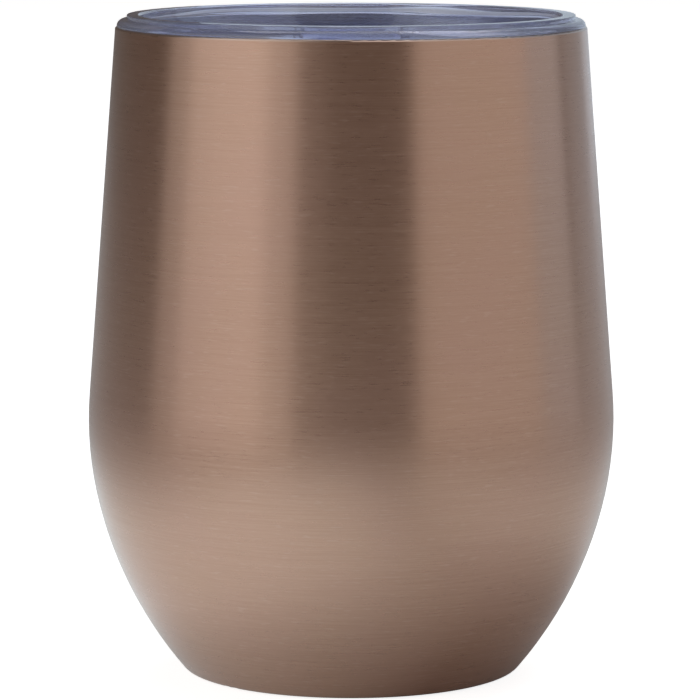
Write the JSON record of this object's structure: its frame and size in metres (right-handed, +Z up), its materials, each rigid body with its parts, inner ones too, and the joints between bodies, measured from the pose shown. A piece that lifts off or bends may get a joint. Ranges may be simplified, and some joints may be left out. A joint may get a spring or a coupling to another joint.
{
  "type": "insulated tumbler",
  "caption": "Egg-shaped stemless vacuum-insulated steel tumbler in brushed copper, with a clear press-in lid and a sliding drink closure.",
  "frame": {"origin": "centre of the foot, on the plane that the tumbler stands on", "axes": "+Z up along the tumbler's own axis; the drink opening faces -Y"},
  "size_m": [0.089, 0.089, 0.111],
  "materials": {
    "copper_lacquer": "brushed round the cup, with a clear copper tint",
    "steel": "satin, bare",
    "liner_steel": "electropolished satin, bare",
    "seal_glass": "fused solder glass",
    "getter_alloy": "sintered",
    "copper_foil": "bright foil",
    "clear_plastic": "clear, faint violet-blue tint, moulded gloss",
    "silicone": "milky, satin"
  },
  "bodies": {
    "tumbler": {"outer_shell": "copper_lacquer", "outer_bottom": "steel", "base_cover": "steel", "vacuum_seal": "seal_glass", "getter_holder": "steel", "getter": "getter_alloy", "copper_foil": "copper_foil", "liner_wall": "liner_steel", "liner_bottom": "liner_steel"},
    "lid": {"lid_body": "clear_plastic", "lid_gasket": "silicone"},
    "slider": {"slider": "clear_plastic", "slider_keeper": "clear_plastic"}
  },
  "joints": [
    {"name": "lid_lift", "type": "slide", "parent": "tumbler", "child": "lid", "axis": [0, 0, 1], "range_m": [0, 0.05]},
    {"name": "slider_slide", "type": "slide", "parent": "lid", "child": "slider", "axis": [0, 1, 0], "range_m": [0, 0.012]}
  ]
}
